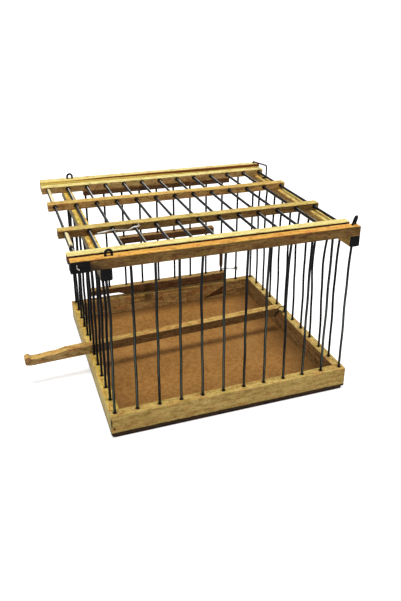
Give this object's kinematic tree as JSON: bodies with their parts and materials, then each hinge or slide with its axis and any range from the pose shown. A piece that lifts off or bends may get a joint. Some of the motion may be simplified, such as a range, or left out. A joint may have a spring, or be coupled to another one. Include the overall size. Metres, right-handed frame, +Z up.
{
  "type": "bird transport cage",
  "caption": "Low wooden bird cage with round bars seated in a board tray and top rails, a sliding barred lid, a hinged rear door and a perch that pulls out of one side.",
  "frame": {"origin": "centre of the floor panel's underside, on the surface that the cage stands on", "axes": "+Z up, +X to the right seen from the front, +Y to the rear door; the perch and the long rails stand out towards -X"},
  "size_m": [0.3186, 0.2525, 0.1937],
  "materials": {
    "pale_wood": "planed, oiled",
    "orange_wood": "planed, varnished",
    "dark_wood": "stained, matte",
    "perch_wood": "planed, bare",
    "hardboard": "smooth hardboard",
    "dark_bar": "dark drawn wire",
    "nail_steel": "dull",
    "bright_wire": "bright",
    "grey_wire": "dull",
    "black_wire": "satin black",
    "black_tape": "matte black",
    "pale_sleeve": "matte",
    "brown_sleeve": "matte",
    "black_ring": "matte"
  },
  "bodies": {
    "cage": {"base_front_board": "pale_wood", "base_rear_board": "pale_wood", "base_left_board": "pale_wood", "base_right_board": "pale_wood", "floor_panel": "hardboard", "corner_nails": "nail_steel", "floor_nails": "nail_steel", "front_bars": "dark_bar", "left_bars": "dark_bar", "right_bars": "dark_bar", "rear_corner_bars": "dark_bar", "door_post_bar": "dark_bar", "left_side_rail": "pale_wood", "right_side_rail": "pale_wood", "left_end_cap": "black_tape", "right_end_cap": "black_tape", "front_top_rail": "orange_wood", "rear_top_rail": "pale_wood", "top_rail_nails": "nail_steel", "rail_end_tape": "black_tape", "tape_staple": "bright_wire", "eye_front_left": "grey_wire", "eye_rear_left": "grey_wire", "eye_front_right": "grey_wire", "perch_loop": "black_wire"},
    "lid": {"lid_front_lath": "pale_wood", "lid_second_lath": "pale_wood", "lid_third_lath": "pale_wood", "lid_rear_lath": "pale_wood", "lid_spokes": "dark_bar", "front_spoke_sleeve": "pale_sleeve", "rear_spoke_sleeve": "pale_sleeve", "sleeve_ring": "black_ring", "lid_bent_nail": "bright_wire"},
    "lid_catch": {"lid_catch": "grey_wire"},
    "door": {"door_top_bar": "dark_wood", "door_middle_bar": "dark_wood", "door_bottom_bar": "dark_wood", "door_wires": "dark_bar", "door_hinge_wire": "dark_bar", "door_grip_sleeve": "brown_sleeve"},
    "door_latch": {"door_latch": "grey_wire"},
    "perch": {"perch": "perch_wood"}
  },
  "joints": [
    {"name": "lid_slide", "type": "slide", "parent": "cage", "child": "lid", "axis": [-1, 0, 0], "range_m": [0, 0.11]},
    {"name": "lid_catch_turn", "type": "hinge", "parent": "cage", "child": "lid_catch", "pos_m": [0.1185, 0.12, 0.18], "axis": [0, 0, 1], "range_deg": [0, 120]},
    {"name": "door_swing", "type": "hinge", "parent": "cage", "child": "door", "pos_m": [-0.09818, 0.12, 0.1], "axis": [0, 0, 1], "range_deg": [0, 110]},
    {"name": "door_latch_turn", "type": "hinge", "parent": "cage", "child": "door_latch", "pos_m": [0.09818, 0.12, 0.0409], "axis": [0, 0, -1], "range_deg": [0, 120]},
    {"name": "perch_slide", "type": "slide", "parent": "cage", "child": "perch", "axis": [-0.9983, -0.0576, 0], "range_m": [0, 0.22]}
  ]
}
